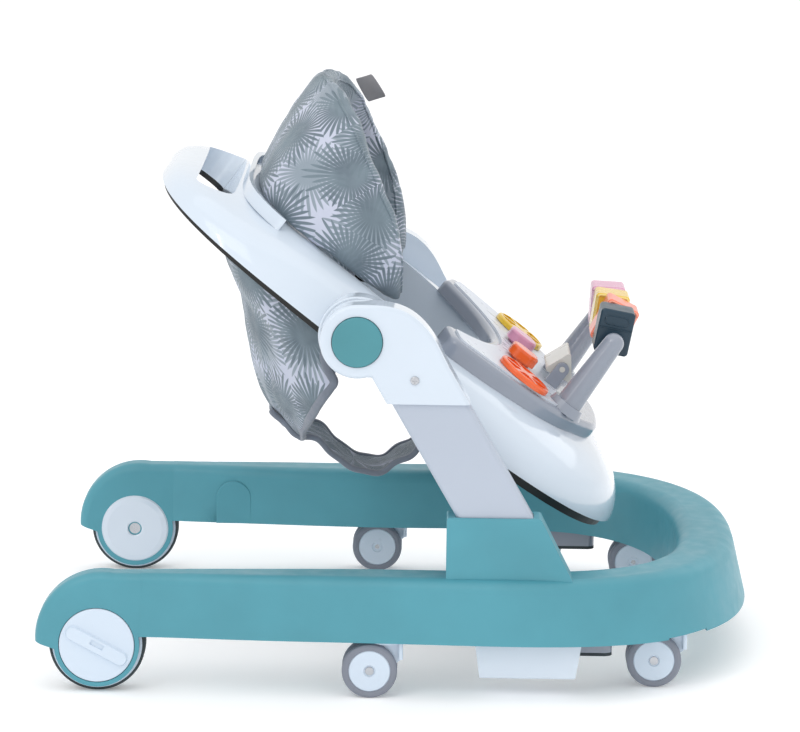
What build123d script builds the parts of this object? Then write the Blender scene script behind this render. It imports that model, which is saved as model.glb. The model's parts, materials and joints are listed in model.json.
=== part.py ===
"""Baby walker: wheeled U-shaped base, two sliding legs, and a tilting tray ring with a seat and toys.

Millimetres, +X towards the front of the walker, +Z up, origin on the floor under the middle of the
walker. "Right" and "left" are the sides of a child who sits in it, so the right side is -Y.
"""

from build123d import *

import os
from math import cos, hypot, radians, sin

# ---- base ----
BASE_BOTTOM = 56.0
BASE_TOP = 118.0
FRONT_LIP = 51.0            # the skirt reaches lower round the front
REAR_X = -354.0
FRONT_X = 354.0
SHELL = 3.0                 # wall of the moulded shells
LEG_Y = 250.0               # middle of a base leg at the sockets
COVER_THICKNESS = 2.5
COVER_REAR_X = -242.0       # the cover stops ahead of the rear wheels
FENDER_FRONT_X = -250.0
# ---- rear wheels ----
REAR_AXLE = (-293.6, 47.0)
TYRE_RADIUS = 47.0
RIM_RADIUS = 44.0
FORK_RADIUS = 41.5
FORK_INNER_Y = 236.0
FORK_OUTER_Y = 268.0
SLOT_INNER_Y = 240.0
SLOT_OUTER_Y = 262.0
AXLE_RADIUS = 6.0
KNOB_RADIUS = 36.6
KNOB_RECESS_Y = 265.0
# ---- casters ----
CASTER_RADIUS = 27.0
CASTER_DISC_RADIUS = 20.5
CASTER_HALF_WIDTH = 14.5
CASTER_CORE_HALF = 5.7
CASTER_TRAIL = 17.0
CASTER_AXLES = {"front": (251.0, 207.0), "middle": (-28.0, 262.0)}
STEM_RADIUS = 6.0
CASTER_PIN_RADIUS = 2.5
CASTER_SWEEP = 36.0         # the skirt is relieved this far round a front caster as it turns
CASTER_SWEEP_TOP = 55.7
RUNNING_GAP = 0.06          # radial clearance of a shaft in its bore
SIDE_GAP = 0.4              # clearance between faces that move past each other
# ---- brake feet and stair stops ----
FOOT_BOTTOM = 19.0
FOOT_TOP_X = (74.0, 178.0)
FOOT_Y = (238.0, 267.0)
FOOT_TRAVEL = 17.0
FOOT_PIN_X = (85.0, 168.0)
FOOT_PIN_RADIUS = 4.0
STOP_X = (140.0, 209.0)
STOP_Y = (219.0, 235.0)
STOP_Z = (34.7, 38.0)       # underside of the rubber pads and of the plates over them
# ---- legs and hinge ----
HUB = (-43.6, 349.2)        # X and Z of the axis that the tray tilts about
LEAN = 30.0                 # the legs lean back from upright by this angle
LEG_NEAR = -1.1             # rear face of a leg tube, across the leg from the hub axis
LEG_WIDTH = 64.5
LEG_INNER_Y = 234.0
LEG_THICKNESS = 28.0
LEG_TOP = 66.0              # ends of a leg tube, down the leg from the hub axis
LEG_END = 328.0
HOUSING_INNER_Y = 232.0
HOUSING_THICKNESS = 33.0
HOUSING_RADIUS = 36.0
BUTTON_RADIUS = 24.4
BUTTON_TRAVEL = 5.0
PIVOT_RADIUS = 6.0
BOSS_RADIUS = 38.5
BOSS_END_Y = 231.4
# ---- tray ring, in its own tilted plane ----
TILT = 37.5                 # the ring's front is down by this angle
RING_FRONT = 338.0
RING_REAR = -240.0
RING_HALF = 226.0
RING_WIDEST = 20.0
SEAM_N = -16.0              # height of the joint between the white and the black shell
CROWN_N = 34.0
COLLAR_N = (25.0, 38.0)     # lip behind the backrest
HOLE_FRONT = 127.0
HOLE_REAR = -155.0
HOLE_HALF = 162.0
SLOT_U = (-212.0, -174.0)   # push slot at the seam, rear and front
SLOT_HALF = 120.0
SLOT_FLARE = 0.5            # its ends lean outward by this much per mm of height
# ---- console and toys ----
CONSOLE_TOP = 50.0
PANEL_TOP = 52.0
PANEL_FRONT = 211.0         # the white panel stops here, just behind the arch
ARCH_FOOT = (221.0, 46.0)
ARCH_TOP = (217.0, 133.0)
ARCH_HALF = 105.0
BLOCK_WIDTH = 35.0
BLOCK_HEIGHT = 45.0
BLOCK_RISE = 8.5            # middle of a block above the bar that it spins on
BLOCK_LENGTH = 42.0
BLOCK_PITCH = 46.5
BAR_RADIUS = 4.0
DIAL_U = 165.0
DIAL_Y = 124.0
DIAL_RADIUS = 29.0
KNOB_U = 162.0
KNOB_Y = 43.0
ROLLER = (203.0, 72.0)

ring_x = Vector(cos(radians(TILT)), 0, -sin(radians(TILT)))
ring_up = Vector(sin(radians(TILT)), 0, cos(radians(TILT)))
hub_point = Vector(HUB[0], 0, HUB[1])
lean_down = Vector(sin(radians(LEAN)), 0, -cos(radians(LEAN)))
lean_across = Vector(cos(radians(LEAN)), 0, sin(radians(LEAN)))


def ring_plane(height):
    """The ring's plane, raised along its own normal: x runs to the front, y to the left."""
    return Plane(origin=hub_point + ring_up * height, x_dir=ring_x, z_dir=ring_up)


def ring_point(u, y, n):
    return hub_point + ring_x * u + ring_up * n + Vector(0, y, 0)


def leg_plane(down):
    """A plane across the right leg: x runs forward across the leg, y outward."""
    origin = hub_point + lean_down * down + Vector(0, -LEG_INNER_Y - LEG_THICKNESS / 2, 0)
    return Plane(origin=origin, x_dir=lean_across, z_dir=lean_down)


def right_side(y):
    """An upright plane y mm to the right of the middle: x forward, y up, z outward."""
    return Plane.XZ.offset(y)


def write(part, name):
    part.label = name
    export_step(part, f"parts/{name}.step")


def write_pair(part, name):
    """Write a right-hand piece and its mirror image."""
    write(part, f"right_{name}")
    with BuildPart() as other:
        mirror(part, about=Plane.XZ)
    write(other.part, f"left_{name}")


def both(part):
    """A right-hand piece and its mirror image as two solids of one node."""
    with BuildPart() as pair:
        add(part)
        mirror(about=Plane.XZ)
    return pair.part


def egg(front, rear, half, middle, front_power, rear_power, count=36):
    """Points of a closed outline that is blunter at one end than at the other."""
    points = []
    for step in range(count):
        angle = radians(360 * step / count)
        c, s = cos(angle), sin(angle)
        ahead = c >= 0
        power = 2 / (front_power if ahead else rear_power)
        reach = front - middle if ahead else middle - rear
        u = middle + (reach if ahead else -reach) * abs(c) ** power
        y = half * abs(s) ** power * (1 if s >= 0 else -1)
        points.append((u, y))
    return points


def ring_outline(inset):
    """The ring's plan: inset pulls in the front more than the sides and the rear less."""
    return egg(RING_FRONT - 1.25 * inset, RING_REAR + 0.9 * inset, RING_HALF - inset,
               RING_WIDEST, 2.6, 3.4)


def hole_outline(grow):
    return egg(HOLE_FRONT + grow, HOLE_REAR - grow, HOLE_HALF + grow, -10.0, 2.5, 2.5)


def egg_face(points):
    """The flat face inside a closed outline."""
    with BuildSketch() as face:
        with BuildLine():
            Spline(*points, periodic=True)
        make_face()
    return face.sketch


os.makedirs("parts", exist_ok=True)

# ======================================================================= base
# Stations along the right half: x, y, width, outer draft, inner draft, top radius, bottom.
leg_stations = [
    (-252.0, 252.0, 32.8, 0.6, 0.6, 9.0, BASE_BOTTOM),
    (-200.0, 250.5, 41.0, 3.0, 1.0, 10.0, BASE_BOTTOM),
    (-110.0, 249.5, 55.0, 6.0, 2.0, 12.0, BASE_BOTTOM),
    (0.0, 249.0, 64.0, 9.0, 3.0, 13.0, BASE_BOTTOM),
    (110.0, 252.0, 68.0, 10.0, 3.0, 14.0, BASE_BOTTOM),
]
CORNER_ANGLES = (30, 45, 58, 70, 80, 90)
CORNER_START_X = 110.0
NOSE_X = 316.0
NOSE_WIDTH = 76.0


def corner_point(angle):
    """Middle of the base round its front corner: 0 at the leg, 90 at the nose."""
    along = sin(radians(angle)) ** (2 / 2.5)
    aside = max(cos(radians(angle)), 0.0) ** (2 / 2.5)
    return CORNER_START_X + (NOSE_X - CORNER_START_X) * along, 252.0 * aside


def base_stations():
    """Every station with its heading in plan."""
    stations = [(*station, 1.0, 0.0) for station in leg_stations]
    for angle in CORNER_ANGLES:
        x, y = corner_point(angle)
        before = corner_point(angle - 0.5)
        after = corner_point(min(angle + 0.5, 90))
        run, drop = after[0] - before[0], before[1] - after[1]
        if angle == 90:
            run, drop = 0.0, 1.0
        length = hypot(run, drop)
        share = angle / 90
        width = 68.0 + (NOSE_WIDTH - 68.0) * share
        bottom = BASE_BOTTOM + (FRONT_LIP - BASE_BOTTOM) * share
        stations.append((x, y, width, 10.0 + 6.0 * share, 3.0 + 3.0 * share, 14.0 + 3.0 * share,
                         bottom, run / length, drop / length))
    return stations


def base_section(station, wall):
    """One cross-section of the base, drawn smaller by the wall for the hollow."""
    x, y, width, outer, inner, radius, bottom, run, drop = station
    plane = Plane(origin=(x, -y, 0), x_dir=(-drop, run, 0), z_dir=(run, drop, 0))
    half = width / 2 - wall
    floor = bottom if wall == 0 else bottom - 10
    with BuildSketch(plane) as section:
        with BuildLine():
            Polyline((-half, floor), (-half + outer, BASE_TOP - wall),
                     (half - inner, BASE_TOP - wall), (half, floor), close=True)
        make_face()
        fillet(section.vertices().group_by(Axis.Y)[-1], radius=radius - wall)
    return section.sketch


def base_loft(wall):
    """The right half of the base as a solid."""
    with BuildPart() as half:
        for station in base_stations():
            add(base_section(station, wall))
        loft()
    return half.part


def fender_profile(inset):
    """Side view of the wheel arch over a rear wheel."""
    top = BASE_TOP - 0.3 - inset
    with BuildSketch() as profile:
        with BuildLine():
            arch = ThreePointArc((FENDER_FRONT_X - 27, top), (-333 + inset * 0.7, 101 - inset * 0.7),
                                 (REAR_X + inset, 49))
            tail = Line(arch @ 1, (-330, 41))
            lower = Line(tail @ 1, (FENDER_FRONT_X, BASE_BOTTOM))
            Polyline(lower @ 1, (FENDER_FRONT_X, top), arch @ 0)
        make_face()
    return profile.sketch


def rear_fender():
    """Wheel arch, fork plates and wheel slot at the end of the right leg of the base."""
    with BuildPart() as fender:
        with BuildSketch(right_side(FORK_INNER_Y)):
            add(fender_profile(0))
        extrude(amount=FORK_OUTER_Y - FORK_INNER_Y)
        crown = fender.edges().filter_by(Axis.Y, reverse=True)
        crown = crown.filter_by(lambda edge: edge.center().Z > 75 and edge.center().X < FENDER_FRONT_X - 2)
        fillet(crown, radius=9)
        with BuildSketch(right_side(FORK_INNER_Y)):
            with Locations(REAR_AXLE):
                Circle(FORK_RADIUS)
        extrude(amount=FORK_OUTER_Y - FORK_INNER_Y)
        with BuildSketch(right_side(SLOT_INNER_Y)):
            add(fender_profile(4))
            with Locations(REAR_AXLE):
                Circle(TYRE_RADIUS + 2.5)
        extrude(amount=SLOT_OUTER_Y - SLOT_INNER_Y, mode=Mode.SUBTRACT)
        with BuildSketch(right_side(KNOB_RECESS_Y)):
            with Locations(REAR_AXLE):
                Circle(KNOB_RADIUS + 0.7)
        extrude(amount=FORK_OUTER_Y - KNOB_RECESS_Y + 1, mode=Mode.SUBTRACT)
        with BuildSketch(right_side(FORK_INNER_Y - 1)):
            with Locations(REAR_AXLE):
                Circle(AXLE_RADIUS)
        extrude(amount=FORK_OUTER_Y - FORK_INNER_Y + 2, mode=Mode.SUBTRACT)
    return fender.part


def leg_prism(gap, start, end):
    """The space of a leg tube, larger all round by the gap."""
    with BuildPart() as prism:
        with BuildSketch(leg_plane(start)):
            with Locations((LEG_NEAR + LEG_WIDTH / 2, 0)):
                RectangleRounded(LEG_WIDTH + 2 * gap, LEG_THICKNESS + 2 * gap, 5 + gap)
        extrude(amount=end - start)
    return prism.part


def side_pad():
    """Round-topped raised panel on the inner face of the right leg of the base."""
    with BuildPart() as pad:
        with BuildSketch(right_side(227.0)):
            with Locations((-185, 72)):
                Rectangle(38, 32)
            with Locations((-185, 84)):
                Circle(19)
        extrude(amount=8)
        chamfer(pad.faces().sort_by(Axis.Y)[-1].edges(), length=1)
    return pad.part


base_outside = base_loft(0)
base_inside = base_loft(SHELL)

def caster_places():
    """Swivel axis of each caster on the right side."""
    return {name: (x + CASTER_TRAIL, -y) for name, (x, y) in CASTER_AXLES.items()}


with BuildPart() as base_half:
    add(base_outside)
    add(side_pad())
    add(base_inside, mode=Mode.SUBTRACT)
    add(leg_prism(0.6, 240, LEG_END + 60), mode=Mode.SUBTRACT)
    add(rear_fender())
    with BuildSketch(Plane.XY.offset(40)):
        with Locations(caster_places()["front"]):
            Circle(CASTER_SWEEP)
    extrude(amount=CASTER_SWEEP_TOP - 40, mode=Mode.SUBTRACT)
write(both(base_half.part), "base_shell")


def foot_pin_places():
    return [(x, -(FOOT_Y[0] + FOOT_Y[1]) / 2) for x in FOOT_PIN_X]


with BuildPart() as bottom_half:
    add(base_inside)
    with Locations((0, 0, BASE_BOTTOM + COVER_THICKNESS / 2)):
        Box(800, 700, COVER_THICKNESS, mode=Mode.INTERSECT)
    with Locations((COVER_REAR_X - 50, -350, BASE_BOTTOM)):
        Box(100, 700, 20, mode=Mode.SUBTRACT)
    with BuildSketch(Plane.XY.offset(BASE_BOTTOM + COVER_THICKNESS)):
        with Locations(*foot_pin_places()):
            Circle(8)
    extrude(amount=13)
    with BuildSketch(Plane.XY.offset(BASE_BOTTOM - 1)):
        with Locations(*foot_pin_places()):
            Circle(FOOT_PIN_RADIUS + RUNNING_GAP)
        with Locations(*caster_places().values()):
            Circle(STEM_RADIUS + RUNNING_GAP)
    extrude(amount=40, mode=Mode.SUBTRACT)
with BuildPart() as base_bottom_cover:
    add(bottom_half.part)
    mirror(about=Plane.XZ)
write(base_bottom_cover.part, "base_bottom_cover")

with BuildPart() as leg_socket:
    with BuildSketch(right_side(230)):
        with BuildLine():
            Polyline((45, BASE_TOP - 6), (45, 178), (136, 178), (170, BASE_TOP - 6), close=True)
        make_face()
    extrude(amount=36)
    chamfer(leg_socket.faces().sort_by(Axis.Z)[-1].edges(), length=1.5)
    add(base_outside, mode=Mode.SUBTRACT)
    add(leg_prism(0.6, 150, LEG_END), mode=Mode.SUBTRACT)
write_pair(leg_socket.part, "leg_socket")

with BuildPart() as brake_foot:
    with BuildSketch(right_side(FOOT_Y[0])):
        with BuildLine():
            Polyline((FOOT_TOP_X[0], BASE_BOTTOM - SIDE_GAP), (FOOT_TOP_X[0] + 5, FOOT_BOTTOM),
                     (FOOT_TOP_X[1] - 6, FOOT_BOTTOM), (FOOT_TOP_X[1], BASE_BOTTOM - SIDE_GAP),
                     close=True)
        make_face()
    extrude(amount=FOOT_Y[1] - FOOT_Y[0])
    fillet(brake_foot.faces().sort_by(Axis.Z)[0].edges(), radius=2.5)
    offset(amount=-SHELL, openings=brake_foot.faces().sort_by(Axis.Z)[-1])
    with BuildSketch(Plane.XY.offset(FOOT_BOTTOM + 1)):
        with Locations(*foot_pin_places()):
            Circle(FOOT_PIN_RADIUS)
    extrude(amount=BASE_BOTTOM + 28 - FOOT_BOTTOM)
write_pair(brake_foot.part, "brake_foot")


def stop_strip(low, high, inset):
    """A flat strip with round ends under the base, between two heights."""
    with BuildPart() as strip:
        with BuildSketch(Plane.XY.offset(low)):
            with Locations(((STOP_X[0] + STOP_X[1]) / 2, -(STOP_Y[0] + STOP_Y[1]) / 2)):
                SlotOverall(STOP_X[1] - STOP_X[0] - 2 * inset, STOP_Y[1] - STOP_Y[0] - 2 * inset)
        extrude(amount=high - low)
    return strip.part


write(both(stop_strip(STOP_Z[1], BASE_BOTTOM, 0)), "stair_stop_plates")
write(both(stop_strip(STOP_Z[0], STOP_Z[1], 0)), "stair_stop_pads")


# ======================================================================= rear wheels
def turned(profile, axis_point):
    """A solid of revolution about the Y direction through (x, z), from (radius, y) corners."""
    x, z = axis_point
    plane = Plane(origin=(x, 0, z), x_dir=(1, 0, 0), z_dir=(0, 0, 1))
    with BuildPart() as body:
        with BuildSketch(plane):
            with BuildLine():
                Polyline(*[(radius, -y) for radius, y in profile], close=True)
            make_face()
        revolve(axis=Axis((x, 0, z), (0, 1, 0)))
    return body.part


WHEEL_INNER_Y = SLOT_INNER_Y + 0.8
WHEEL_OUTER_Y = SLOT_OUTER_Y - 0.8

rear_wheel = turned([(AXLE_RADIUS + RUNNING_GAP, WHEEL_INNER_Y), (14, WHEEL_INNER_Y),
                     (14, WHEEL_INNER_Y + 7), (38, WHEEL_INNER_Y + 7), (38, WHEEL_INNER_Y + 1),
                     (RIM_RADIUS, WHEEL_INNER_Y + 1), (RIM_RADIUS, WHEEL_OUTER_Y - 1),
                     (38, WHEEL_OUTER_Y - 1), (38, WHEEL_OUTER_Y - 7), (14, WHEEL_OUTER_Y - 7),
                     (14, WHEEL_OUTER_Y), (AXLE_RADIUS + RUNNING_GAP, WHEEL_OUTER_Y)], REAR_AXLE)
write_pair(rear_wheel, "rear_wheel")

rear_tyre = turned([(RIM_RADIUS, WHEEL_INNER_Y + 1), (TYRE_RADIUS - 1.2, WHEEL_INNER_Y + 1),
                    (TYRE_RADIUS, WHEEL_INNER_Y + 3), (TYRE_RADIUS, WHEEL_OUTER_Y - 3),
                    (TYRE_RADIUS - 1.2, WHEEL_OUTER_Y - 1), (RIM_RADIUS, WHEEL_OUTER_Y - 1)],
                   REAR_AXLE)
write_pair(rear_tyre, "rear_tyre")

rear_axle = turned([(0, FORK_INNER_Y), (AXLE_RADIUS, FORK_INNER_Y),
                    (AXLE_RADIUS, KNOB_RECESS_Y + 2), (0, KNOB_RECESS_Y + 2)], REAR_AXLE)
write(both(rear_axle), "rear_axles")

inner_cap = turned([(7.5, FORK_INNER_Y), (7.5, FORK_INNER_Y - 1.6), (9, FORK_INNER_Y - 2.4),
                    (30, FORK_INNER_Y - 2.4), (35, FORK_INNER_Y - 1.6), (36.5, FORK_INNER_Y)],
                   REAR_AXLE)
write(both(inner_cap), "rear_wheel_inner_caps")

KNOB_FACE_Y = 269.0
KNOB_BAR_ANGLE = -28.0
with BuildPart() as speed_knob:
    with BuildSketch(right_side(KNOB_RECESS_Y + 0.2)):
        with Locations(REAR_AXLE):
            Circle(KNOB_RADIUS)
    extrude(amount=KNOB_FACE_Y - KNOB_RECESS_Y - 0.2)
    fillet(speed_knob.faces().sort_by(Axis.Y)[0].edges(), radius=1.5)
    with BuildSketch(right_side(KNOB_FACE_Y - 0.5)):
        with Locations(Location((REAR_AXLE[0], REAR_AXLE[1], 0), (0, 0, KNOB_BAR_ANGLE))):
            SlotOverall(2 * KNOB_RADIUS - 6, 15)
    extrude(amount=4.0, taper=20)
    with BuildSketch(right_side(KNOB_FACE_Y + 2.0)):
        with Locations(Location((REAR_AXLE[0], REAR_AXLE[1], 0), (0, 0, KNOB_BAR_ANGLE))):
            with Locations((0, 1.5)):
                Rectangle(14, 5)
    extrude(amount=3, mode=Mode.SUBTRACT)
    with BuildSketch(right_side(KNOB_RECESS_Y)):
        with Locations(REAR_AXLE):
            Circle(AXLE_RADIUS + RUNNING_GAP)
    extrude(amount=2.2, mode=Mode.SUBTRACT)
write_pair(speed_knob.part, "speed_knob")


# ======================================================================= casters
def caster_fork(x, y):
    """Swivel bracket: a core between the two wheels, a hood ahead of them and the stem."""
    swivel_x = x + CASTER_TRAIL
    with BuildPart() as fork:
        with BuildSketch(right_side(y - CASTER_CORE_HALF)):
            with BuildLine():
                Polyline((x - 9, CASTER_RADIUS), (x - 9, CASTER_RADIUS + 5), (x - 2, 55),
                         (x + 32, 55), (x + 32, 38), (x + 9, CASTER_RADIUS - 6),
                         (x - 4, CASTER_RADIUS - 8), close=True)
            make_face()
        extrude(amount=2 * CASTER_CORE_HALF)
        with BuildSketch(Plane.XY.offset(38)):
            with Locations((x + 30.2, -y)):
                RectangleRounded(4.4, 22, 1.8)
        extrude(amount=17)
        with BuildSketch(Plane.XY.offset(54.3)):
            with Locations((swivel_x, -y)):
                Circle(17)
        extrude(amount=BASE_BOTTOM - SIDE_GAP - 54.3)
        with BuildSketch(Plane.XY.offset(54.3)):
            with Locations((swivel_x, -y)):
                Circle(STEM_RADIUS)
        extrude(amount=28)
        with BuildSketch(right_side(y - 20)):
            with Locations((x, CASTER_RADIUS)):
                Circle(CASTER_PIN_RADIUS + RUNNING_GAP)
        extrude(amount=40, mode=Mode.SUBTRACT)
    return fork.part


def caster_pair(x, y, profile):
    """The same turned piece on each side of a caster's core."""
    near = [(radius, y + CASTER_CORE_HALF + 0.5 + depth) for radius, depth in profile]
    far = [(radius, y - CASTER_CORE_HALF - 0.5 - depth) for radius, depth in profile]
    with BuildPart() as pair:
        add(turned(near, (x, CASTER_RADIUS)))
        add(turned(far, (x, CASTER_RADIUS)))
    return pair.part


CASTER_WIDTH = CASTER_HALF_WIDTH - CASTER_CORE_HALF - 0.5
disc_profile = [(CASTER_PIN_RADIUS, 0), (CASTER_DISC_RADIUS, 0), (CASTER_DISC_RADIUS, CASTER_WIDTH - 1.2),
                (CASTER_DISC_RADIUS - 1, CASTER_WIDTH - 0.4), (6, CASTER_WIDTH - 0.4),
                (5, CASTER_WIDTH - 1.6), (CASTER_PIN_RADIUS, CASTER_WIDTH - 1.6)]
tyre_profile = [(CASTER_DISC_RADIUS, 0), (CASTER_RADIUS - 1.5, 0), (CASTER_RADIUS, 1.5),
                (CASTER_RADIUS, CASTER_WIDTH - 3), (CASTER_RADIUS - 1.0, CASTER_WIDTH - 1.0),
                (CASTER_RADIUS - 3, CASTER_WIDTH - 0.2), (CASTER_DISC_RADIUS, CASTER_WIDTH - 0.2)]
pin_end = CASTER_HALF_WIDTH - 1.6

for place, (axle_x, axle_y) in CASTER_AXLES.items():
    pin = turned([(0, axle_y - pin_end), (CASTER_PIN_RADIUS, axle_y - pin_end),
                  (CASTER_PIN_RADIUS, axle_y + pin_end), (4.4, axle_y + pin_end),
                  (4.0, axle_y + pin_end + 1.2), (0, axle_y + pin_end + 1.6)],
                 (axle_x, CASTER_RADIUS))
    write_pair(caster_fork(axle_x, axle_y), f"{place}_caster_fork")
    write_pair(caster_pair(axle_x, axle_y, disc_profile), f"{place}_caster_wheels")
    write_pair(caster_pair(axle_x, axle_y, tyre_profile), f"{place}_caster_tyres")
    write_pair(pin, f"{place}_caster_axle")

with BuildPart() as stem_cups:
    with BuildSketch(Plane.XY.offset(BASE_BOTTOM + COVER_THICKNESS)):
        with Locations(*caster_places().values()):
            Circle(9)
            Circle(STEM_RADIUS + RUNNING_GAP, mode=Mode.SUBTRACT)
    extrude(amount=26)
write(both(stem_cups.part), "caster_stem_cups")


# ======================================================================= legs and tilt hinge
with BuildPart() as leg_tube:
    add(leg_prism(0, LEG_TOP, LEG_END))
    with BuildSketch(leg_plane(LEG_TOP)):
        with Locations((LEG_NEAR + LEG_WIDTH / 2, 0)):
            RectangleRounded(LEG_WIDTH - 5, LEG_THICKNESS - 5, 3)
    extrude(amount=LEG_END - LEG_TOP, mode=Mode.SUBTRACT)
write_pair(leg_tube.part, "leg_tube")


# Crest of the hinge housing about the hub axis: x, z and the direction that faces outward.
CREST = ((37.0, 33.0, 75.0), (53.0, 26.0, 58.0), (71.0, 8.5, 42.0), (92.5, -30.0, 30.0))


def housing_profile(inset):
    """Side view of the hinge housing about the hub axis: a round head that runs into the leg."""
    radius = HOUSING_RADIUS - inset
    crest = [(x - inset * cos(radians(a)), z - inset * sin(radians(a))) for x, z, a in CREST]
    with BuildSketch() as profile:
        with BuildLine():
            head = ThreePointArc((9.3, 1.2 - radius), (-radius, 0), (0, radius))
            over = Spline(head @ 1, *crest, tangents=((1, 0), (0.5, -0.866)))
            foot = over @ 1 + Vector(17.3, -30 + inset)
            Polyline(over @ 1, foot, (28.9 + 1.2 * inset, -60 + inset), (14.5 + inset, -35), head @ 0)
        make_face()
    return profile.sketch


def hub_plane(y):
    return Plane(origin=(HUB[0], -y, HUB[1]), x_dir=(1, 0, 0), z_dir=(0, -1, 0))


BUTTON_WELL = BUTTON_RADIUS + 0.6
GEAR_RADIUS = 19.0
housing_outer_y = HOUSING_INNER_Y + HOUSING_THICKNESS
with BuildPart() as hinge_housing:
    with BuildSketch(hub_plane(HOUSING_INNER_Y)):
        add(housing_profile(0))
    extrude(amount=HOUSING_THICKNESS)
    outer_rim = hinge_housing.faces().sort_by(Axis.Y)[0].edges()
    fillet(outer_rim.filter_by(lambda edge: edge.center().Z > HUB[1] - 59), radius=4)
    with BuildSketch(hub_plane(HOUSING_INNER_Y + 3)):
        add(housing_profile(SHELL))
    extrude(amount=HOUSING_THICKNESS - 6, mode=Mode.SUBTRACT)
    with BuildSketch(hub_plane(housing_outer_y - 10)):
        Circle(BUTTON_WELL + 2.5)
    extrude(amount=8)
    with BuildSketch(hub_plane(housing_outer_y - 10)):
        Circle(BUTTON_WELL)
    extrude(amount=20, mode=Mode.SUBTRACT)
    with BuildSketch(hub_plane(HOUSING_INNER_Y - 1)):
        Circle(GEAR_RADIUS + 1.5)
    extrude(amount=10, mode=Mode.SUBTRACT)
    add(leg_prism(0.05, LEG_TOP, LEG_END), mode=Mode.SUBTRACT)
    with BuildSketch(hub_plane(housing_outer_y - 6)):
        with Locations((55.8, -36.5)):
            Circle(2.0)
    extrude(amount=10, mode=Mode.SUBTRACT)
write_pair(hinge_housing.part, "hinge_housing")

with BuildPart() as leg_screw:
    with BuildSketch(hub_plane(housing_outer_y)):
        with Locations((55.8, -36.5)):
            Circle(4.3)
    extrude(amount=1.8)
    fillet(leg_screw.faces().sort_by(Axis.Y)[0].edges(), radius=1.2)
    with BuildSketch(hub_plane(housing_outer_y + 0.7)):
        with Locations((55.8, -36.5)):
            Rectangle(5, 1)
            Rectangle(1, 5)
    extrude(amount=2, mode=Mode.SUBTRACT)
    with BuildSketch(hub_plane(housing_outer_y - 3)):
        with Locations((55.8, -36.5)):
            Circle(2.0)
    extrude(amount=3)
write(both(leg_screw.part), "leg_screws")

pivot_pin = turned([(0, 203), (9, 203), (9, 205), (PIVOT_RADIUS, 205), (PIVOT_RADIUS, 248),
                    (9, 248), (9, 251), (0, 251)], HUB)
write(both(pivot_pin), "pivot_pins")

with BuildPart() as lock_gear:
    with BuildSketch(hub_plane(237)):
        Circle(GEAR_RADIUS - 2.5)
        with PolarLocations(GEAR_RADIUS - 2.5, 16):
            Rectangle(5, 3)
        Circle(PIVOT_RADIUS + 0.4, mode=Mode.SUBTRACT)
    extrude(amount=6)
write_pair(lock_gear.part, "lock_gear")

BUTTON_FACE_Y = 268.0
with BuildPart() as hub_button:
    with BuildSketch(hub_plane(257)):
        Circle(BUTTON_RADIUS)
    extrude(amount=BUTTON_FACE_Y - 257)
    fillet(hub_button.faces().sort_by(Axis.Y)[0].edges(), radius=2)
    with BuildSketch(hub_plane(243)):
        with PolarLocations(13, 3):
            Circle(2.5)
    extrude(amount=14)
write_pair(hub_button.part, "hub_button")


# ======================================================================= tray ring
# The shell's dome: how far each level is pulled in from the outline, its rear end, its height.
# It is lower at the rear, where it makes the push handle.
DOME = ((0.0, RING_REAR, SEAM_N), (2.5, -238.0, -6.0), (8.0, -228.0, 5.0), (16.0, -205.0, 14.5),
        (26.0, -184.0, 22.0), (38.0, -172.0, 28.5), (50.0, -165.0, 32.5), (60.0, -159.0, CROWN_N))


def dome(thickness):
    """The solid inside the ring's outer skin, or inside its hollow when thickness isn't 0."""
    with BuildPart() as solid:
        for inset, rear, height in DOME:
            pull = inset + thickness
            with BuildSketch(ring_plane(height - (thickness if height > SEAM_N else 1))):
                add(egg_face(egg(RING_FRONT - 1.25 * pull, rear + thickness, RING_HALF - pull,
                                 RING_WIDEST, 2.6, 3.4)))
        loft()
    return solid.part


def hole_prism(grow, low, high):
    with BuildPart() as prism:
        with BuildSketch(ring_plane(low)):
            add(egg_face(hole_outline(grow)))
        extrude(amount=high - low)
    return prism.part


def slot_prism(grow, low, high):
    """The push slot behind the seat, a rounded rectangle that is wider higher up."""
    with BuildPart() as prism:
        for height in (low, high):
            flare = SLOT_FLARE * (height - SEAM_N)
            with BuildSketch(ring_plane(height)):
                with Locations(((SLOT_U[0] + SLOT_U[1]) / 2, 0)):
                    RectangleRounded(SLOT_U[1] - SLOT_U[0] + 2 * grow, 2 * (SLOT_HALF + flare + grow),
                                     16 + grow)
        loft()
    return prism.part


def seat_collar():
    """Raised lip on the ring's crown behind the foot of the backrest."""
    with BuildPart() as collar:
        with BuildSketch(ring_plane(COLLAR_N[0])):
            add(egg_face(backrest_outline(BACKREST_LEVELS[0], -7)))
            add(egg_face(backrest_outline(BACKREST_LEVELS[0], -1.8)), mode=Mode.SUBTRACT)
            with Locations((100, 0)):
                Rectangle(440, 500, mode=Mode.SUBTRACT)
        extrude(amount=COLLAR_N[1] - COLLAR_N[0])
    return collar.part


def backrest_outline(level, inset):
    height, rear, half, front, power = level
    return egg(front - inset, rear + inset, half - inset, -50.0, 2.3, power)


def hinge_boss():
    """Round boss on the ring's right side, drilled for the pivot pin."""
    with BuildPart() as boss:
        with BuildSketch(hub_plane(206)):
            Circle(BOSS_RADIUS)
        extrude(amount=BOSS_END_Y - 206)
        fillet(boss.faces().sort_by(Axis.Y)[0].edges(), radius=2)
        add(lower_outline(4.5), mode=Mode.SUBTRACT)
    return boss.part


def lower_outline(inset):
    """The black tray's outline as a solid from well below up to the seam."""
    with BuildPart() as slab:
        with BuildSketch(ring_plane(SEAM_N)):
            add(egg_face(ring_outline(inset)))
        extrude(amount=-40)
    return slab.part


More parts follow.
